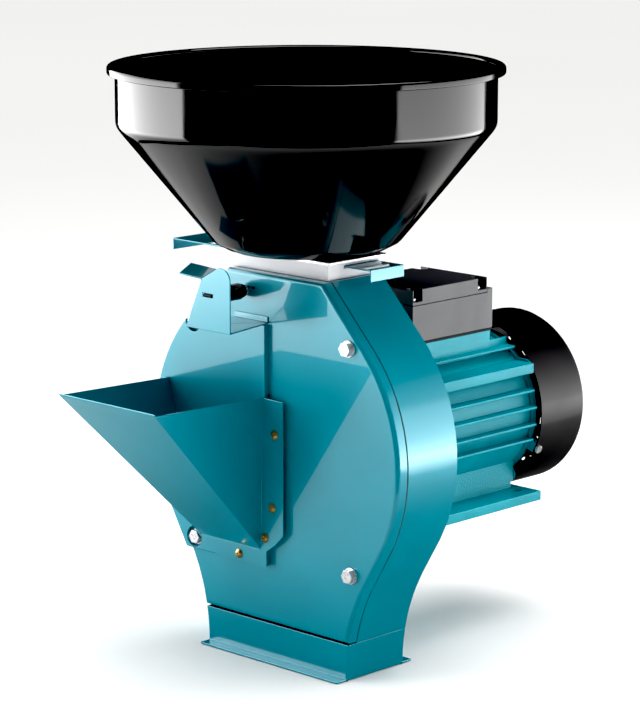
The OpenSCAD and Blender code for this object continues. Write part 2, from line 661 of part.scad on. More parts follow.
core_y0 = shell_y + 66;
core_len = 100;
core_r = 42;
slot_count = 24;
coil_len = 26;
module stator_core() color("#7b7f84") difference() {
    tube_y(stator_r, core_r, core_y0, core_y0 + core_len);
    for (k = [0:slot_count - 1]) slot_block(k, core_r - 1, core_r + 18, 5, core_y0 - 1, core_y0 + core_len + 1);
}
module slot_block(k, r0, r1, w, y0, y1) translate([0, 0, axis_z]) rotate([0, (k + 0.5) * 360 / slot_count, 0])
    block(r0, r1, y0, y1, -w / 2, w / 2);
module stator_windings() color("#a5572a") {
    for (y = [core_y0 - coil_len, core_y0 + core_len])
        tube_y(core_r + 21, core_r + 2, y, y + coil_len);
    for (k = [0:slot_count - 1])
        slot_block(k, core_r + 2.5, core_r + 17.5, 4.4, core_y0 - 2, core_y0 + core_len + 2);
}
air_gap = 0.5;
core_shaft_r = 17;
module rotor_core() color("#8b8f94") tube_y(core_r - air_gap, core_shaft_r, core_y0, core_y0 + core_len);
module rotor_cage() color("#b9bcc0") for (y = [core_y0 - 9, core_y0 + core_len])
    tube_y(core_r - 2, core_shaft_r + 8, y, y + 9);
fan_y = shell_end + 17;
fan_len = 38;
fan_bore = 20;
module motor_shaft() color(zinc) difference() {
    union() {
        along_y(nut_d / 2, shaft_front, disc_y);
        along_y(shaft_d / 2, disc_y, shell_y);
        along_y(bearing_bore / 2, shell_y, rear_bearing_y + bearing_w);
        along_y(15, shell_y + bearing_w, rear_bearing_y);
        along_y(core_shaft_r, core_y0 - 12, core_y0 + core_len + 12);
        along_y(fan_bore / 2, rear_bearing_y + bearing_w - 1, fan_y + 24);
    }
    key_space(gap_y + 3, rear_disc_y - 3);
}
ball_r = 4;
ball_ring = (bearing_d + bearing_bore) / 4;
module race_groove(y) translate([0, y + bearing_w / 2, axis_z]) rotate([90, 0, 0]) rotate_extrude()
    translate([ball_ring, 0]) circle(r = ball_r + 0.03, $fn = 48);
module bearing_outers() color(zinc) for (y = [shell_y, rear_bearing_y]) {
    difference() {
        tube_y(bearing_d / 2, bearing_d / 2 - 5, y, y + bearing_w);
        race_groove(y);
    }
    for (s = [0, 1]) tube_y(bearing_d / 2 - 5, bearing_bore / 2 + 5.3, y + 0.6 + s * 12.8, y + 1.6 + s * 12.8);
}
module bearing_inners() color(zinc) for (y = [shell_y, rear_bearing_y]) difference() {
    tube_y(bearing_bore / 2 + 5, bearing_bore / 2, y, y + bearing_w);
    race_groove(y);
}

/* Fan and its cover */
blade_count = 8;
fan_r = 78;
module fan() color("#2c2c30") difference() {
    union() {
        along_y(19, fan_y, fan_y + 24);
        along_y(fan_r, fan_y, fan_y + 3);
        for (k = [0:blade_count - 1]) translate([0, 0, axis_z]) rotate([0, k * 360 / blade_count, 0])
            block(17, fan_r, fan_y, fan_y + fan_len, -1.5, 1.5);
    }
    along_y(fan_bore / 2, fan_y - 1, fan_y + fan_len + 1);
}
cover_end = fan_cover_y + fan_cover_len;
module fan_cover() color(black) difference() {
    along_y(cover_r, fan_cover_y, cover_end);
    along_y(cover_r - cover_wall, fan_cover_y - 1, cover_end - cover_wall);
    along_y(6, cover_end - 5, cover_end + 1);
    for (n = [1:5], k = [0:6 * n - 1])
        along_y(4.2, cover_end - 5, cover_end + 1, 14.5 * n * cos(k * 60 / n), axis_z + 14.5 * n * sin(k * 60 / n), $fn = 16);
    for (a = rear_lug_angles) lug_axis(a) cylinder(d = tie_d, h = 30);
}
module lug_axis(a) translate([0, cover_screw_y, axis_z]) rotate([0, 90 - a, 0]) translate([0, 0, 70]) children();
module fan_cover_screws() color(zinc) for (a = rear_lug_angles) lug_axis(a) {
    translate([0, 0, cover_r - 70]) cylinder(d = 9, h = 3);
    translate([0, 0, cover_r - 70 - cover_wall - 1]) cylinder(d = tie_d, h = 3);
}

/* Terminal box */
box_x = 47;
box_y0 = -78.5;
box_y1 = 46.5;
box_z = axis_z + pad_top + 2;
lid_z = box_z + 39;
lid_top = lid_z + 16.5;
lid_y1 = 37.5;
box_wall = 2.5;
box_screw_xy = [for (s = [-1, 1], y = [box_y0 + 8, lid_y1 - 8]) [s * (box_x - 8), y]];
module box_gasket() color(black) difference() {
    block(-pad_w / 2, pad_w / 2, pad_y0, pad_y1, axis_z + pad_top, box_z);
    translate([0, 0, box_z - 5]) cylinder(d = 16, h = 9);
}
module terminal_box() color("#3a3a40") difference() {
    union() {
        block(-box_x, box_x, box_y0, lid_y1, box_z, lid_z);
        block(-box_x + 3, box_x, lid_y1, box_y1, box_z, lid_z + 4);
    }
    difference() {
        block(-box_x + box_wall, box_x - box_wall, box_y0 + box_wall, lid_y1 - box_wall, box_z + box_wall, lid_z + 1);
        for (p = box_screw_xy) translate([p.x, p.y, box_z]) cylinder(r = 5, h = 60);
    }
    for (p = box_screw_xy) translate([p.x, p.y, lid_z - 20]) cylinder(d = 4, h = 21);
    translate([0, 0, box_z - 1]) cylinder(d = 16, h = 9);
    gland_axis() cylinder(r = gland_r, h = 20, center = true);
}
gland_r = 10;
module gland_axis() translate([-box_x, -20, box_z + 19]) rotate([0, -90, 0]) children();
recess_r = 6.5;
module terminal_lid() color("#3a3a40") difference() {
    block(-box_x, box_x, box_y0, lid_y1, lid_z, lid_top);
    block(-box_x + box_wall, box_x - box_wall, box_y0 + 17, lid_y1 - 17, lid_z - 1, lid_top - box_wall);
    for (p = box_screw_xy) {
        translate([p.x, p.y, lid_z - 1]) cylinder(d = 4.4, h = 60);
        translate([p.x, p.y, lid_z + 4]) cylinder(r = recess_r, h = 60);
        block(min(p.x, sign(p.x) * (box_x + 5)), max(p.x, sign(p.x) * (box_x + 5)), p.y - recess_r,
            p.y + recess_r, lid_z + 4, lid_top + 5);
    }
}
module lid_screws() color(zinc) for (p = box_screw_xy) translate([p.x, p.y, lid_z + 4]) {
    cylinder(d = 7.5, h = 2.6);
    translate([0, 0, -14]) cylinder(d = 4, h = 15);
}
module capacitors() color("#c8c8cc") for (s = [-1, 1])
    translate([s * 20, -62, box_z + box_wall + 17]) rotate([-90, 0, 0]) cylinder(r = 17, h = 62);
module terminal_block() color("#23435f") difference() {
    block(-24, 24, 8, 26, box_z + box_wall, box_z + box_wall + 14);
    for (x = [-16:8:16]) translate([x, 17, box_z + box_wall + 4]) cylinder(d = 4, h = 20);
}
module cable_gland() color(black) difference() {
    gland_axis() {
        translate([0, 0, -box_wall - 3]) cylinder(r = gland_r, h = box_wall + 5);
        cylinder(d = 27 / cos(30), h = 6, $fn = 6);
        cylinder(r = 12, h = 15);
        cylinder(r = 9, h = 20);
    }
    gland_axis() cylinder(r = 5, h = 60, center = true);
}
module flange_bolts() color(zinc) for (a = [45:90:315])
    at_front([flange_bolt_r * cos(a), axis_z + flange_bolt_r * sin(a)], floor_y)
        hex_bolt(bolt_d, back_t + shield_t - 2, 13, head_h);

housing_band();
back_plate();
outlet_box();
front_cover();
cover_gasket();
cover_bolts();
cover_washers();
cover_lugs();
feed_panel();
feed_tray();
tray_screws();
tray_spacers();
front_bracket();
slot_insert();
lock_stud();
lock_nut();
lock_knob();
knob_wire();
gate_body();
gate_top_plate();
gate_slide();
hopper();
hopper_screws();
screen();
screen_rails();
rotor_discs();
rotor_hub();
rotor_key();
rotor_sleeve();
rotor_nut();
hammer_pins();
pin_rings();
hammer_spacers();
hammers_1();
hammers_2();
hammers_3();
hammers_4();
flange_bolts();
motor_housing();
front_shield();
shaft_seal();
rear_shield();
tie_bolts();
stator_core();
stator_windings();
rotor_core();
rotor_cage();
motor_shaft();
bearing_outers();
bearing_inners();
fan();
fan_cover();
fan_cover_screws();
box_gasket();
terminal_box();
terminal_lid();
lid_screws();
capacitors();
terminal_block();
cable_gland();
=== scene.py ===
# Grain hammer mill: paint, plating and mouldings over the fixed CAD frame, in metres.
import json
import math
import bpy
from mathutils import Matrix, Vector

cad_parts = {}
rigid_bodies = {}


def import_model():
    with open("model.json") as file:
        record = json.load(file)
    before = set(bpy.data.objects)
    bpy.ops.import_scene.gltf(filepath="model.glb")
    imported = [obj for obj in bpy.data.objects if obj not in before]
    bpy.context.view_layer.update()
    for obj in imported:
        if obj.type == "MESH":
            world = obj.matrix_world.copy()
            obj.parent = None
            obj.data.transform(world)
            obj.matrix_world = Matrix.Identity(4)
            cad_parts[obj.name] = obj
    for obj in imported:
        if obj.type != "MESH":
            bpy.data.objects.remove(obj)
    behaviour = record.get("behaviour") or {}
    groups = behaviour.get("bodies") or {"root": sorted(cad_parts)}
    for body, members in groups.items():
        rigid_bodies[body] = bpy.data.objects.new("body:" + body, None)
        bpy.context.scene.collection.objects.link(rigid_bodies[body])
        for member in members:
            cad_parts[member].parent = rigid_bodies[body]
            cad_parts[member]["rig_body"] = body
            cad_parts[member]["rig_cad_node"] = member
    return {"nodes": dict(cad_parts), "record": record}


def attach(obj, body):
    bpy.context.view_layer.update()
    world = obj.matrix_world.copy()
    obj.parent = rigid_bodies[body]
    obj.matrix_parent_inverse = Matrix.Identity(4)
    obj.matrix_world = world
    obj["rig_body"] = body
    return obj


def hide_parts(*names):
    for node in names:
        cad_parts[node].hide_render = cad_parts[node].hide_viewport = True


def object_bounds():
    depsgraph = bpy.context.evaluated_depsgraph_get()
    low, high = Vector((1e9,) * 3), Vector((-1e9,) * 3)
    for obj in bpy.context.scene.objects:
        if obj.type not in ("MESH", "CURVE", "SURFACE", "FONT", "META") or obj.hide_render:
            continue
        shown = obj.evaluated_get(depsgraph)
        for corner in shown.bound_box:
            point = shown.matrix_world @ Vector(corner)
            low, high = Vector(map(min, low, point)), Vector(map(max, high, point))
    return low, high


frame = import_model()
cadLow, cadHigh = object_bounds()
mm = 0.001
print("frame loaded with", len(frame["nodes"]), "nodes")

# Camera, floor and studio lights

cameraView = {
    "turn": 44.27,                      # degrees round from the front towards the right
    "drop": 11.71,                      # degrees down
    "aim": (0.0333, -0.2010, 0.1826),
    "distance": 2.919,
    "lens": 144.03,
}


def placeCamera():
    turn, drop = math.radians(cameraView["turn"]), math.radians(cameraView["drop"])
    forward = Vector((-math.sin(turn) * math.cos(drop), math.cos(turn) * math.cos(drop), -math.sin(drop)))
    bpy.ops.object.camera_add(location=Vector(cameraView["aim"]) - forward * cameraView["distance"])
    camera = bpy.context.object
    camera.rotation_mode = "QUATERNION"
    camera.rotation_quaternion = forward.to_track_quat("-Z", "Y")
    camera.data.lens = cameraView["lens"]
    camera.data.sensor_width = 36
    camera.data.clip_end = 200
    bpy.context.scene.camera = camera


def hexColour(text):
    # sRGB hex to the linear values that the shaders take
    parts = [int(text[i:i + 2], 16) / 255 for i in (1, 3, 5)]
    return tuple(c / 12.92 if c <= 0.04045 else ((c + 0.055) / 1.055) ** 2.4 for c in parts) + (1,)


def addNode(tree, kind, values=None, links=None, **settings):
    node = tree.nodes.new("ShaderNode" + kind)
    for name, value in settings.items():
        setattr(node, name, value)
    for socket, value in (values or {}).items():
        node.inputs[socket].default_value = value
    for socket, source in (links or {}).items():
        tree.links.new(source, node.inputs[socket])
    return node


def emptyMaterial(name):
    material = bpy.data.materials.new(name)
    material.use_nodes = True
    material.node_tree.nodes.clear()
    return material, material.node_tree


def shadeRamp(tree, factor, colours):
    # colours are (place, hex) pairs along the ramp
    ramp = addNode(tree, "ValToRGB", links={"Fac": factor})
    stops = ramp.color_ramp.elements
    while len(stops) < len(colours):
        stops.new(0.5)
    for stop, (place, colour) in zip(stops, colours):
        stop.position, stop.color = place, hexColour(colour)
    return ramp.outputs["Color"]


studio = {
    "floorSize": 90,
    "floorGap": 0.0006,                 # the mill stands this far above the floor
    "tableSize": 1.56,                  # the near part of the floor, which shows in the gloss
    "floorTones": ("#f1f1f0", "#f4f4f3"),
    # painted shade: the table's tones are darker than the floor's, standing for the floor in the machine's shadow as
    # the gloss sees it
    "paintedShadeTableTones": ("#bdbdbc", "#c3c3c2"),
    "paintedShadeReach": (0.34, 0.66),         # painted shade: the board is darkest inside the first distance and full past the second
    "paintedShadeLevel": 0.08,                 # share of the board's tone that is left in the painted shade
    "sun": 3.2,                         # even top light, which whitens the floor
    "sunSpread": 70,                    # degrees
    "backdrop": 0.95,
    "aimY": -0.12,                      # lamps and softboxes stand round this point on the floor's middle line
    # name, degrees round from the camera, distance, lowest and highest edge, width,
    # then (place up it, brightness) pairs
    "softboxes": [
        ("rightBox", 90, 1.5, -0.36, 0.95, 2.4,
         [(0, 0), (0.08, 2), (0.2, 13), (0.27, 9), (0.4, 4.4), (0.55, 3.6), (0.75, 1.2), (1, 0)]),
        ("leftBox", -109, 1.3, -0.36, 1.3, 1.9,
         [(0, 1), (0.1, 1.7), (0.2, 3.2), (0.26, 7), (0.33, 10), (0.42, 7.5), (0.7, 4), (1, 1)]),
    ],
    # name, degrees round from the camera, distance, lowest and highest edge, width, watts
    "fills": [
        ("rightFill", 90, 1.75, 0.0, 1.45, 2.6, 32),
        ("leftFill", -95, 1.6, -0.1, 1.35, 1.8, 30),
    ],
    "blackLevel": 0.016,                # deep blacks, as a product picture is printed
    "topBox": (0.1, 0.3, 1.9, 1.2, 14),  # x, y, height, side, watts
}


def studioBoard(name, tones, withPaintedShade):
    # matt white emulsion on board; on the table, painted shade darkens it close round the machine
    material, tree = emptyMaterial(name)
    place = addNode(tree, "TexCoord")
    mottle = addNode(tree, "TexNoise", {"Scale": 0.5, "Detail": 2}, {"Vector": place.outputs["Object"]})
    tone = shadeRamp(tree, mottle.outputs["Fac"], list(zip((0.3, 0.7), tones)))
    if withPaintedShade:
        away = addNode(tree, "VectorMath", {}, {"Vector": place.outputs["Object"]}, operation="LENGTH")
        near, far = studio["paintedShadeReach"]
        lit = addNode(tree, "MapRange", {"From Min": near, "From Max": far, "To Min": studio["paintedShadeLevel"]},
                      {"Value": away.outputs["Value"]})
        tone = addNode(tree, "VectorMath", {}, {0: tone, 1: lit.outputs["Result"]},
                       operation="MULTIPLY").outputs["Vector"]
    paint = addNode(tree, "BsdfPrincipled", {"Roughness": 0.95, "Specular IOR Level": 0.1}, {"Base Color": tone})
    addNode(tree, "OutputMaterial", links={"Surface": paint.outputs["BSDF"]})
    return material


def layFloor():
    # only the near table shows in the gloss, half as far down as the floor, and the room past it is dark there; the
    # table's darker tones and its painted shade stand for the floor lying in the machine's shadow
    gap = studio["floorGap"]
    for name, size, tones, drop, inGloss in (
            ("studioFloor", studio["floorSize"], studio["floorTones"], gap, False),
            ("studioPaintedShadeTable", studio["tableSize"], studio["paintedShadeTableTones"], gap / 2, True)):
        bpy.ops.mesh.primitive_plane_add(size=size, location=(0, 0, cadLow.z - drop),
                                         rotation=(0, 0, math.radians(cameraView["turn"])))
        board = bpy.context.object
        board.name = name
        bpy.ops.object.transform_apply(location=True, rotation=True, scale=True)
        board.data.materials.append(studioBoard(name + "Paint", tones, withPaintedShade=inGloss))
        board.visible_glossy = inGloss
        board.visible_camera = board.visible_diffuse = board.visible_shadow = not inGloss


def standPlace(turn, distance, low, high):
    # the turn and the middle of a light that stands round the machine
    way = math.radians(cameraView["turn"] + turn)
    return way, Vector((math.sin(way) * distance, studio["aimY"] - math.cos(way) * distance, (low + high) / 2))


def standSoftboxes():
    # lit cloth panels that only the gloss sees, brightest at the height of the lamp inside
    for name, turn, distance, low, high, wide, stops in studio["softboxes"]:
        way, place = standPlace(turn, distance, low, high)
        bpy.ops.mesh.primitive_plane_add(size=1, location=place, rotation=(math.pi / 2, 0, way))
        panel = bpy.context.object
        panel.name = name
        panel.scale = (wide, high - low, 1)
        bpy.ops.object.transform_apply(location=True, rotation=True, scale=True)
        material, tree = emptyMaterial(name + "Cloth")  # translucent nylon over a lamp
        spot = addNode(tree, "SeparateXYZ", links={"Vector": addNode(tree, "TexCoord").outputs["Object"]})
        up = addNode(tree, "MapRange", {"From Min": low, "From Max": high}, {"Value": spot.outputs["Z"]})
        top = max(level for _, level in stops)
        ramp = addNode(tree, "ValToRGB", links={"Fac": up.outputs["Result"]})
        ramp.color_ramp.interpolation = "B_SPLINE"
        marks = ramp.color_ramp.elements
        while len(marks) < len(stops):
            marks.new(0.5)
        for mark, (at, level) in zip(marks, stops):
            mark.position, mark.color = at, (level / top,) * 3 + (1,)
        glow = addNode(tree, "Emission", {"Strength": top}, {"Color": ramp.outputs["Color"]})
        addNode(tree, "OutputMaterial", links={"Surface": glow.outputs["Emission"]})
        panel.data.materials.append(material)
        panel.visible_camera = panel.visible_diffuse = panel.visible_shadow = False


def hangLights():
    bpy.ops.object.light_add(type="SUN", location=(0, 0, 5))
    sun = bpy.context.object
    sun.name, sun.data.energy, sun.data.angle = "topSun", studio["sun"], math.radians(studio["sunSpread"])
    sun.visible_glossy = False
    for name, turn, distance, low, high, wide, power in studio["fills"]:
        place = standPlace(turn, distance, low, high)[1]
        bpy.ops.object.light_add(type="AREA", location=place)
        lamp = bpy.context.object
        lamp.name = name
        lamp.rotation_mode = "QUATERNION"
        lamp.rotation_quaternion = Vector((place.x, place.y - studio["aimY"], 0)).to_track_quat("Z", "Y")
        lamp.data.shape, lamp.data.size, lamp.data.size_y, lamp.data.energy = "RECTANGLE", wide, high - low, power
        lamp.visible_glossy = False
    x, y, height, side, power = studio["topBox"]
    bpy.ops.object.light_add(type="AREA", location=(x, y, height))
    lamp = bpy.context.object
    lamp.name, lamp.data.size, lamp.data.energy = "topBox", side, power
    world = bpy.data.worlds.new("studioRoom")
    world.use_nodes = True
    back = next(n for n in world.node_tree.nodes if n.type == "BACKGROUND")
    back.inputs["Color"].default_value, back.inputs["Strength"].default_value = (1, 1, 1, 1), studio["backdrop"]
    world.cycles_visibility.diffuse = False
    world.cycles_visibility.glossy = False
    bpy.context.scene.world = world
    look = bpy.context.scene.view_settings
    look.view_transform = "Standard"
    look.use_curve_mapping = True
    look.curve_mapping.black_level = (studio["blackLevel"],) * 3
    look.curve_mapping.update()


placeCamera()
layFloor()
standSoftboxes()
hangLights()
print("camera, floor and lights placed")

# Finishes


def sprayedEnamel(name, colours, peel, peelDepth, rough, flake):
    # stoving enamel sprayed on sheet steel: deep gloss with a faint orange peel and slow tone drift
    material, tree = emptyMaterial(name)
    place = addNode(tree, "TexCoord").outputs["Object"]
    drift = addNode(tree, "TexNoise", {"Scale": 1 / (110 * mm), "Detail": 2}, {"Vector": place})
    tone = shadeRamp(tree, drift.outputs["Fac"], colours)
    skin = addNode(tree, "TexNoise", {"Scale": 1 / peel, "Detail": 1.5}, {"Vector": place})
    dust = addNode(tree, "TexNoise", {"Scale": 1 / (90 * mm), "Detail": 1}, {"Vector": place})
    matt = addNode(tree, "MapRange", {"From Min": 0, "From Max": 1, "To Min": rough[0], "To Max": rough[1]},
                   {"Value": dust.outputs["Fac"]})
    bump = addNode(tree, "Bump", {"Strength": 0.35, "Distance": peelDepth}, {"Height": skin.outputs["Fac"]})
    paint = addNode(tree, "BsdfPrincipled",
                    {"Metallic": flake, "Coat Weight": 0.9, "Coat Roughness": 0.03, "Coat IOR": 1.5,
                     "Specular IOR Level": 0.2},
                    {"Base Color": tone, "Roughness": matt.outputs["Result"], "Normal": bump.outputs["Normal"]})
    addNode(tree, "OutputMaterial", links={"Surface": paint.outputs["BSDF"]})
    return material


def castEnamel(name, colours, grain, grainDepth):
    # enamel brushed over a sand casting: the grain of the sand reads through as fine relief
    material, tree = emptyMaterial(name)
    place = addNode(tree, "TexCoord").outputs["Object"]
    drift = addNode(tree, "TexNoise", {"Scale": 1 / (60 * mm), "Detail": 3}, {"Vector": place})
    tone = shadeRamp(tree, drift.outputs["Fac"], colours)
    sand = addNode(tree, "TexVoronoi", {"Scale": 1 / grain, "Randomness": 1}, {"Vector": place})
    fine = addNode(tree, "TexNoise", {"Scale": 1 / (grain * 0.8), "Detail": 3}, {"Vector": place})
    height = addNode(tree, "Mix", {"Factor": 0.5}, {"A": sand.outputs["Distance"], "B": fine.outputs["Fac"]})
    bump = addNode(tree, "Bump", {"Strength": 0.9, "Distance": grainDepth}, {"Height": height.outputs["Result"]})
    matt = addNode(tree, "MapRange", {"From Min": 0.3, "From Max": 0.7, "To Min": 0.28, "To Max": 0.46},
                   {"Value": fine.outputs["Fac"]})
    paint = addNode(tree, "BsdfPrincipled",
                    {"Metallic": 0.06, "Coat Weight": 0.08, "Coat Roughness": 0.15, "Specular IOR Level": 0.14},
                    {"Base Color": tone, "Roughness": matt.outputs["Result"], "Normal": bump.outputs["Normal"]})
    addNode(tree, "OutputMaterial", links={"Surface": paint.outputs["BSDF"]})
    return material


def mouldedPlastic(name, colours, texture, textureDepth, rough, ior=1.5):
    # injection moulding: the tool's spark or polish finish sets the grain, and flow shifts the gloss a little
    material, tree = emptyMaterial(name)
    place = addNode(tree, "TexCoord").outputs["Object"]
    flow = addNode(tree, "TexNoise", {"Scale": 1 / (80 * mm), "Detail": 2, "Distortion": 0.6}, {"Vector": place})
    tone = shadeRamp(tree, flow.outputs["Fac"], colours)
    spark = addNode(tree, "TexNoise", {"Scale": 1 / texture, "Detail": 4}, {"Vector": place})
    matt = addNode(tree, "MapRange", {"From Min": 0.35, "From Max": 0.65, "To Min": rough[0], "To Max": rough[1]},
                   {"Value": flow.outputs["Fac"]})
    bump = addNode(tree, "Bump", {"Strength": 0.3, "Distance": textureDepth}, {"Height": spark.outputs["Fac"]})
    resin = addNode(tree, "BsdfPrincipled", {"IOR": ior},
                    {"Base Color": tone, "Roughness": matt.outputs["Result"], "Normal": bump.outputs["Normal"]})
    addNode(tree, "OutputMaterial", links={"Surface": resin.outputs["BSDF"]})
    return material


def platedSteel(name, colours, rough, film=1):
    # electroplate with a passivated film: mirror-like in patches, clouded where it was handled
    material, tree = emptyMaterial(name)
    place = addNode(tree, "TexCoord").outputs["Object"]
    cloud = addNode(tree, "TexNoise", {"Scale": 1 / (6 * mm), "Detail": 4}, {"Vector": place})
    tone = shadeRamp(tree, cloud.outputs["Fac"], colours)
    matt = addNode(tree, "MapRange", {"From Min": 0.3, "From Max": 0.7, "To Min": rough[0], "To Max": rough[1]},
                   {"Value": cloud.outputs["Fac"]})
    grit = addNode(tree, "TexNoise", {"Scale": 1 / (0.9 * mm), "Detail": 2}, {"Vector": place})
    bump = addNode(tree, "Bump", {"Strength": 0.15, "Distance": 0.05 * mm}, {"Height": grit.outputs["Fac"]})
    metal = addNode(tree, "BsdfPrincipled", {"Metallic": film},
                    {"Base Color": tone, "Roughness": matt.outputs["Result"], "Normal": bump.outputs["Normal"]})
    addNode(tree, "OutputMaterial", links={"Surface": metal.outputs["BSDF"]})
    return material


def rolledSteel(name, colours, rough, stretch):
    # cold-rolled or ground steel: fine lines run along one way, drawn about 1 mm apart so that they show
    material, tree = emptyMaterial(name)
    place = addNode(tree, "TexCoord").outputs["Object"]
    along = addNode(tree, "Mapping", {"Scale": stretch}, {"Vector": place})
    lines = addNode(tree, "TexNoise", {"Scale": 1 / (1.0 * mm), "Detail": 3}, {"Vector": along.outputs["Vector"]})
    tone = shadeRamp(tree, lines.outputs["Fac"], colours)
    matt = addNode(tree, "MapRange", {"From Min": 0.3, "From Max": 0.7, "To Min": rough[0], "To Max": rough[1]},
                   {"Value": lines.outputs["Fac"]})
    bump = addNode(tree, "Bump", {"Strength": 0.2, "Distance": 0.04 * mm}, {"Height": lines.outputs["Fac"]})
    metal = addNode(tree, "BsdfPrincipled", {"Metallic": 1},
                    {"Base Color": tone, "Roughness": matt.outputs["Result"], "Normal": bump.outputs["Normal"]})
    addNode(tree, "OutputMaterial", links={"Surface": metal.outputs["BSDF"]})
    return material


def stackedSheets(name, colours, pitch, metallic):
    # laminations or windings: bands across the shaft, drawn at the pitch given so that they show
    material, tree = emptyMaterial(name)
    place = addNode(tree, "TexCoord").outputs["Object"]
    bands = addNode(tree, "TexWave", {"Scale": 1 / pitch / 20, "Distortion": 0.6, "Detail": 1}, {"Vector": place},
                    bands_direction="Y")
    tone = shadeRamp(tree, bands.outputs["Fac"], colours)
    bump = addNode(tree, "Bump", {"Strength": 0.5, "Distance": 0.3 * mm}, {"Height": bands.outputs["Fac"]})
    metal = addNode(tree, "BsdfPrincipled", {"Metallic": metallic, "Roughness": 0.4},
                    {"Base Color": tone, "Normal": bump.outputs["Normal"]})
    addNode(tree, "OutputMaterial", links={"Surface": metal.outputs["BSDF"]})
    return material


finishes = {
    "tealEnamelOnSheet": sprayedEnamel("tealEnamelOnSheet", [(0.3, "#00879a"), (0.7, "#0090a4")],
                                       2.2 * mm, 0.03 * mm, (0.27, 0.31), 0.14),
    "tealEnamelOnCasting": castEnamel("tealEnamelOnCasting", [(0.3, "#008a9a"), (0.7, "#0099a8")],
                                      1.5 * mm, 0.6 * mm),
    "nitrileRubber": mouldedPlastic("nitrileRubber", [(0.3, "#141517"), (0.7, "#1e2023")],
                                    1.2 * mm, 0.1 * mm, (0.7, 0.9)),
    "brightZincPlate": platedSteel("brightZincPlate", [(0.3, "#d2d4d6"), (0.7, "#e6e7e8")],
                                   (0.22, 0.36), 0.7),
    "yellowZincPlate": platedSteel("yellowZincPlate", [(0.3, "#b9924a"), (0.7, "#dcbc7c")],
                                   (0.22, 0.36), 0.8),
    "coldRolledSteel": rolledSteel("coldRolledSteel", [(0.3, "#8d9093"), (0.7, "#a9acae")],
                                   (0.28, 0.42), (1, 0.05, 1)),
    "hardenedSpringSteel": rolledSteel("hardenedSpringSteel", [(0.3, "#5b5a5a"), (0.7, "#787674")],
                                       (0.3, 0.5), (1, 1, 0.05)),
    "blackenedSteel": rolledSteel("blackenedSteel", [(0.3, "#1c1c1d"), (0.7, "#2a2a2b")],
                                  (0.4, 0.55), (1, 0.1, 1)),
    # painted shade: the tie bolts lie in the shaded gap behind the fins, so their zinc is drawn near black
    "paintedShadeDarkZinc": platedSteel("paintedShadeDarkZinc", [(0.3, "#202022"), (0.7, "#2c2c2e")], (0.35, 0.5)),
    "blackPhenolic": mouldedPlastic("blackPhenolic", [(0.3, "#0c0c0d"), (0.7, "#131314")],
                                    0.9 * mm, 0.03 * mm, (0.14, 0.24)),
    "whitePolyethylene": mouldedPlastic("whitePolyethylene", [(0.3, "#dfdfe4"), (0.7, "#ebebef")],
                                        1.1 * mm, 0.06 * mm, (0.38, 0.5)),
    "blackGlossPolypropylene": mouldedPlastic("blackGlossPolypropylene", [(0.3, "#060607"), (0.7, "#09090b")],
                                              3 * mm, 0.02 * mm, (0.07, 0.12)),
    "castAluminium": platedSteel("castAluminium", [(0.3, "#9b9da0"), (0.7, "#b9bbbd")], (0.45, 0.6)),
    "laminatedIron": stackedSheets("laminatedIron", [(0.2, "#4a4b4e"), (0.8, "#6d6f73")], 1.0 * mm, 1),
    "enamelledCopper": stackedSheets("enamelledCopper", [(0.2, "#6b2f14"), (0.8, "#b8632f")], 1.4 * mm, 0.9),
    "blackNylon": mouldedPlastic("blackNylon", [(0.3, "#151516"), (0.7, "#1d1d1f")],
                                 1 * mm, 0.06 * mm, (0.35, 0.5)),
    "blackPowderCoat": mouldedPlastic("blackPowderCoat", [(0.3, "#0a090b"), (0.7, "#100e11")],
                                      1.4 * mm, 0.06 * mm, (0.34, 0.42), 1.33),
    "greyBlackAbs": mouldedPlastic("greyBlackAbs", [(0.3, "#27282c"), (0.7, "#2e2f34")],
                                   1.2 * mm, 0.06 * mm, (0.32, 0.42), 1.42),
    "drawnAluminiumCan": platedSteel("drawnAluminiumCan", [(0.3, "#b5b7ba"), (0.7, "#cfd1d3")], (0.25, 0.4)),
    "creamPhenolicBlock": mouldedPlastic("creamPhenolicBlock", [(0.3, "#c9bfa6"), (0.7, "#d8cfb8")],
                                         1 * mm, 0.05 * mm, (0.4, 0.55)),
}

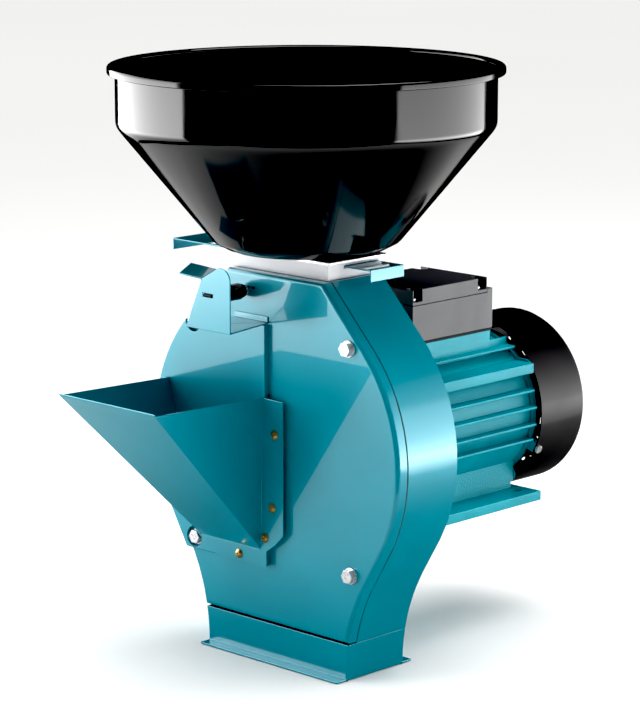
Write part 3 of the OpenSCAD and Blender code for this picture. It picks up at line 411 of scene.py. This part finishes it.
# finish: the record's slot and the CAD nodes that wear it
worn = {
    "tealEnamelOnSheet": ("teal_paint", ["housing_band", "back_plate", "outlet_box", "front_cover", "feed_panel",
                                         "feed_tray", "front_bracket", "gate_slide"]),
    "tealEnamelOnCasting": ("motor_paint", ["motor_housing", "front_shield", "rear_shield"]),
    "nitrileRubber": ("gasket_rubber", ["cover_gasket", "shaft_seal", "box_gasket"]),
    "brightZincPlate": ("zinc_steel", ["cover_bolts", "cover_washers", "lock_stud", "lock_nut", "hopper_screws",
                                       "gate_top_plate", "flange_bolts", "fan_cover_screws", "lid_screws",
                                       "rotor_nut", "rotor_key", "tray_spacers"]),
    "yellowZincPlate": ("yellow_zinc", ["tray_screws"]),
    "coldRolledSteel": ("bare_steel", ["cover_lugs", "screen", "screen_rails", "rotor_discs", "rotor_hub",
                                       "rotor_sleeve", "hammer_pins", "pin_rings", "hammer_spacers", "motor_shaft",
                                       "bearing_outers", "bearing_inners"]),
    "hardenedSpringSteel": ("hard_steel", ["hammers_1", "hammers_2", "hammers_3", "hammers_4"]),
    "blackenedSteel": ("bare_steel", ["slot_insert"]),
    # painted shade: the tie bolts are drawn dark because they lie in shade
    "paintedShadeDarkZinc": ("zinc_steel", ["tie_bolts"]),
    "blackPhenolic": ("black_knob", ["lock_knob", "knob_wire"]),
    "whitePolyethylene": ("white_plastic", ["gate_body"]),
    "blackGlossPolypropylene": ("hopper_plastic", ["hopper"]),
    "castAluminium": ("cast_aluminium", ["rotor_cage"]),
    "laminatedIron": ("core_iron", ["stator_core", "rotor_core"]),
    "enamelledCopper": ("copper_winding", ["stator_windings"]),
    "blackNylon": ("fan_plastic", ["fan"]),
    "blackPowderCoat": ("black_cover", ["fan_cover"]),
    "greyBlackAbs": ("box_plastic", ["terminal_box", "terminal_lid", "cable_gland"]),
    "drawnAluminiumCan": ("capacitor_case", ["capacitors"]),
    "creamPhenolicBlock": ("block_plastic", ["terminal_block"]),
}
finishOf, slotOf = {}, {}
for finish, (slotName, nodeNames) in worn.items():
    for nodeName in nodeNames:
        finishOf[nodeName], slotOf[nodeName] = finishes[finish], slotName
        frame["nodes"][nodeName].data.materials.clear()
        frame["nodes"][nodeName].data.materials.append(finishes[finish])
print("finishes on", len(finishOf), "nodes")


def bodyOf(nodeName):
    return next(b for b, names in frame["record"]["behaviour"]["bodies"].items() if nodeName in names)


def clearSelection():
    if bpy.context.mode != "OBJECT":
        bpy.ops.object.mode_set(mode="OBJECT")
    bpy.ops.object.select_all(action="DESELECT")


def applyModifier(piece, kind, **settings):
    modifier = piece.modifiers.new(kind.lower(), kind)
    for name, value in settings.items():
        setattr(modifier, name, value)
    bpy.context.view_layer.objects.active = piece
    bpy.ops.object.modifier_apply(modifier=modifier.name)


def finishPiece(piece, nodeName, smoothAngle=35):
    # paint and shade a new piece, and let it stand for its CAD node
    clearSelection()
    piece.select_set(True)
    bpy.context.view_layer.objects.active = piece
    bpy.ops.object.shade_smooth_by_angle(angle=math.radians(smoothAngle))
    applyModifier(piece, "WEIGHTED_NORMAL", mode="FACE_AREA", weight=50, keep_sharp=True)
    piece.data.materials.clear()
    piece.data.materials.append(finishOf[nodeName])
    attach(piece, bodyOf(nodeName))
    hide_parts(nodeName)


def workingCopy(nodeName, pieceName, flat=3):
    # a merged copy of a CAD node with its flat faces joined up, ready to have its edges broken
    clearSelection()
    source = frame["nodes"][nodeName]
    source.select_set(True)
    bpy.context.view_layer.objects.active = source
    bpy.ops.object.duplicate()
    piece = bpy.context.object
    piece.name = pieceName
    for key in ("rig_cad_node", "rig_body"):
        if key in piece:
            del piece[key]
    bpy.ops.mesh.customdata_custom_splitnormals_clear()
    bpy.ops.object.mode_set(mode="EDIT")
    bpy.ops.mesh.select_all(action="SELECT")
    bpy.ops.mesh.remove_doubles(threshold=0.002 * mm)
    bpy.ops.mesh.dissolve_limited(angle_limit=math.radians(flat))
    bpy.ops.object.mode_set(mode="OBJECT")
    return piece


def pickEdges(piece, test):
    # leaves edit mode with only the edges whose two ends pass the test selected
    clearSelection()
    piece.select_set(True)
    bpy.context.view_layer.objects.active = piece
    bpy.ops.object.mode_set(mode="EDIT")
    bpy.ops.mesh.select_mode(type="EDGE")
    bpy.ops.mesh.select_all(action="DESELECT")
    bpy.ops.object.mode_set(mode="OBJECT")
    mesh = piece.data
    count = 0
    for edge in mesh.edges:
        a, b = (mesh.vertices[i].co for i in edge.vertices)
        edge.select = bool(test(a, b))
        count += edge.select
    return count


# Broken edges: the node, its new name, the radius, the steps across it and the sharpest edge left alone
brokenEdges = [
    ("housing_band", "drumBand", 0.5, 1, 50),
    ("outlet_box", "outletBox", 0.7, 2, 50),
    ("feed_panel", "feedPanel", 0.7, 2, 50),
    ("feed_tray", "feedTray", 0.7, 2, 25),
    ("front_bracket", "frontBracket", 0.7, 2, 30),
    ("gate_body", "gateBody", 1.0, 2, 30),
    ("gate_slide", "gateSlide", 0.5, 2, 30),
    ("cover_bolts", "coverBolts", 0.45, 2, 40),
    ("cover_washers", "coverWashers", 0.4, 2, 40),
    ("tray_screws", "trayScrews", 0.25, 1, 50),
    ("lock_nut", "lockNut", 0.4, 1, 40),
    ("motor_housing", "motorHousing", 1.0, 2, 50),
    ("front_shield", "frontShield", 0.8, 2, 50),
    ("rear_shield", "rearShield", 0.8, 2, 50),
    ("terminal_box", "terminalBox", 0.7, 2, 50),
    ("terminal_lid", "terminalLid", 0.7, 2, 50),
    ("fan_cover_screws", "fanCoverScrews", 0.8, 2, 50),
    ("lid_screws", "lidScrews", 0.6, 2, 50),
    ("cable_gland", "cableGland", 0.6, 2, 40),
]
for nodeName, pieceName, radius, steps, sharp in brokenEdges:
    piece = workingCopy(nodeName, pieceName)
    applyModifier(piece, "BEVEL", width=radius * mm, segments=steps, limit_method="ANGLE",
                  angle_limit=math.radians(sharp), use_clamp_overlap=False, harden_normals=False)
    finishPiece(piece, nodeName)
print("edges broken on", len(brokenEdges), "pieces")

def turnRim(nodeName, pieceName, rim):
    # rounds the edge that lies at one depth along the shaft and outside one radius from it
    piece = workingCopy(nodeName, pieceName)
    picked = pickEdges(piece, lambda a, b: all(
        abs(p.y - rim["depth"]) < 0.2 * mm and math.hypot(p.x, p.z - rim["axisZ"]) > rim["outside"] for p in (a, b)))
    bpy.ops.object.mode_set(mode="EDIT")
    bpy.ops.mesh.bevel(offset=rim["radius"] * mm, segments=5, affect="EDGES", clamp_overlap=False)
    bpy.ops.object.mode_set(mode="OBJECT")
    finishPiece(piece, nodeName, 40)
    print(pieceName, "rounded over", picked, "edges")


# Front cover: the pressed pan's rim turns over a generous radius
coverPan = {"depth": -0.2335, "axisZ": 0.095, "outside": 0.166, "radius": 4.5}
turnRim("front_cover", "frontCover", coverPan)

# Fan cover: a drawn steel cup with a soft rear edge
fanCup = {"depth": 0.1465, "axisZ": 0.095, "outside": 0.09, "radius": 5}
turnRim("fan_cover", "fanCover", fanCup)


def drawProfile(pieceName, points):
    # a vertex is drawn out along the points, in millimetres, as a half section in X and Z
    clearSelection()
    bpy.ops.mesh.primitive_plane_add(size=0.001, location=(points[0][0] * mm, 0, points[0][1] * mm))
    piece = bpy.context.object
    piece.name = pieceName
    bpy.ops.object.transform_apply(location=True, rotation=True, scale=True)
    bpy.ops.object.mode_set(mode="EDIT")
    bpy.ops.mesh.select_mode(type="VERT")
    bpy.ops.mesh.select_all(action="SELECT")
    bpy.ops.mesh.merge(type="CENTER")
    for (x0, z0), (x1, z1) in zip(points, points[1:]):
        bpy.ops.mesh.extrude_region_move(TRANSFORM_OT_translate={"value": ((x1 - x0) * mm, 0, (z1 - z0) * mm)})
    return piece


def arc(x, z, radius, start, end, steps):
    turns = [math.radians(start + (end - start) * i / steps) for i in range(steps + 1)]
    return [(x + radius * math.cos(t), z + radius * math.sin(t)) for t in turns]


# Hopper: one spun moulding with a turned-over rim
hopper = {
    "axis": (-0.0145, -0.1715), "floor": 0.291, "sides": 144,
    "wall": 192, "thick": 2.2, "rim": 200, "height": 187, "lip": 8,
    "throat": (0.054, 0.040),
}


def makeHopper():
    wall, rim, top, thick = hopper["wall"], hopper["rim"], hopper["height"], hopper["thick"]
    outer = [(0, 0), (60, 0), (73, 0), (77, 0.3), (82, 2), (94.6, 8.6), (97, 10.8)]
    outer += [(185.4, 118.2), (188.6, 122.2), (190.6, 125.3), (191.7, 128.5), (wall, 132), (wall, top - thick - 1.2)]
    outer += arc(wall + 1.2, top - thick - 1.2, 1.2, 180, 90, 3)
    outer += [(rim - thick - 0.6, top - thick), (rim - thick, top - thick - 0.6),
              (rim - thick, top - hopper["lip"] + 0.5)]
    outer += arc(rim - thick / 2, top - hopper["lip"] + thick / 2, thick / 2, 180, 360, 6)
    outer += arc(rim - 3, top - 3, 3, 0, 90, 6)
    outer += arc(wall + 1.5, top - 3.5, 3.5, 90, 180, 5)
    inner = wall - thick
    outer += [(inner, 132.6), (inner - 0.4, 129), (inner - 1.6, 125.6), (inner - 3.6, 122.4), (94.6, 11.4),
              (92.2, 9.6), (80.4, 3.6), (75, thick), (0, thick)]
    piece = drawProfile("hopperBowl", outer)
    bpy.ops.mesh.select_all(action="SELECT")
    bpy.ops.mesh.spin(steps=hopper["sides"], angle=2 * math.pi, center=(0, 0, 0), axis=(0, 0, 1))
    bpy.ops.mesh.select_all(action="SELECT")
    bpy.ops.mesh.remove_doubles(threshold=0.02 * mm)
    bpy.ops.mesh.normals_make_consistent(inside=False)
    bpy.ops.object.mode_set(mode="OBJECT")
    piece.location = (*hopper["axis"], hopper["floor"])
    bpy.ops.object.transform_apply(location=True, rotation=True, scale=True)
    clearSelection()
    bpy.ops.mesh.primitive_cube_add(size=1, location=(*hopper["axis"], hopper["floor"]),
                                    scale=(*hopper["throat"], 0.03))
    cutter = bpy.context.object
    bpy.ops.object.transform_apply(location=True, rotation=True, scale=True)
    clearSelection()
    applyModifier(piece, "BOOLEAN", operation="DIFFERENCE", solver="EXACT", object=cutter)
    bpy.data.objects.remove(cutter)
    finishPiece(piece, "hopper", 32)


makeHopper()
print("hopper spun")
